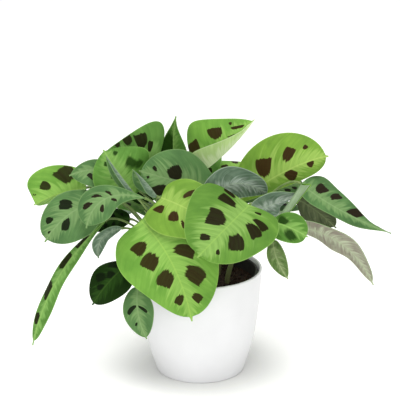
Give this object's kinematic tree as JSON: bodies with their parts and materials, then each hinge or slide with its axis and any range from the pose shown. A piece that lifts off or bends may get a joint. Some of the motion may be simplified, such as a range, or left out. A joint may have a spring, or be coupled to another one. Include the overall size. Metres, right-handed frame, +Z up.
{
  "type": "potted prayer plant",
  "caption": "Prayer plant with broad blotched leaves on slender petioles, growing from peat in a thin dark nursery pot that stands in a tapered white cover pot.",
  "frame": {"origin": "centre of the flat foot of the cover pot, on the surface that the pot stands on", "axes": "+Z up along the axis of the pot, -Y towards the side with the showiest leaves, +X to the right seen from there, along the widest spread of the foliage"},
  "size_m": [0.396, 0.2745, 0.2822],
  "materials": {
    "white_glaze": "gloss",
    "black_plastic": "matte",
    "peat": "matte",
    "pale_stem": "satin",
    "leaf_bright": "satin",
    "leaf_green": "satin",
    "leaf_grey": "satin",
    "leaf_dark": "satin"
  },
  "bodies": {
    "root": {"pot": "white_glaze", "nursery_pot": "black_plastic", "soil": "peat", "shoot_front": "pale_stem", "shoot_front_left": "pale_stem", "shoot_left": "pale_stem", "shoot_centre": "pale_stem", "shoot_right": "pale_stem", "shoot_back_left": "pale_stem", "shoot_back_right": "pale_stem", "shoot_back": "pale_stem", "leaf_front_left": "leaf_bright", "leaf_front_centre": "leaf_bright", "leaf_front_inner": "leaf_bright", "leaf_grey_middle": "leaf_grey", "leaf_top_left": "leaf_green", "leaf_top_spear": "leaf_green", "leaf_top_centre": "leaf_bright", "leaf_top_right": "leaf_bright", "leaf_cup_right": "leaf_grey", "leaf_low_right": "leaf_grey", "leaf_right_long": "leaf_green", "leaf_right_under": "leaf_grey", "leaf_right_low": "leaf_grey", "leaf_right_small": "leaf_green", "leaf_right_hang": "leaf_dark", "leaf_left_far": "leaf_bright", "leaf_left_grey": "leaf_grey", "leaf_left_spotted": "leaf_grey", "leaf_left_tuck": "leaf_green", "leaf_left_ridge": "leaf_green", "leaf_left_rolled": "leaf_grey", "leaf_left_droop": "leaf_green", "leaf_left_curled": "leaf_dark", "leaf_left_shade": "leaf_dark", "leaf_hang_dark": "leaf_dark", "leaf_hang_small": "leaf_green", "leaf_back_top_left": "leaf_green", "leaf_back_top_right": "leaf_bright", "leaf_back_middle": "leaf_bright", "leaf_back_low_left": "leaf_grey", "leaf_back_low_right": "leaf_green", "leaf_back_hang": "leaf_bright", "leaf_back_side_left": "leaf_green", "leaf_back_side_right": "leaf_grey", "leaf_crown_left": "leaf_grey", "leaf_crown_right": "leaf_green", "leaf_crown_middle": "leaf_green", "leaf_left_folded": "leaf_grey", "leaf_new_rolled": "leaf_bright"}
  },
  "joints": []
}
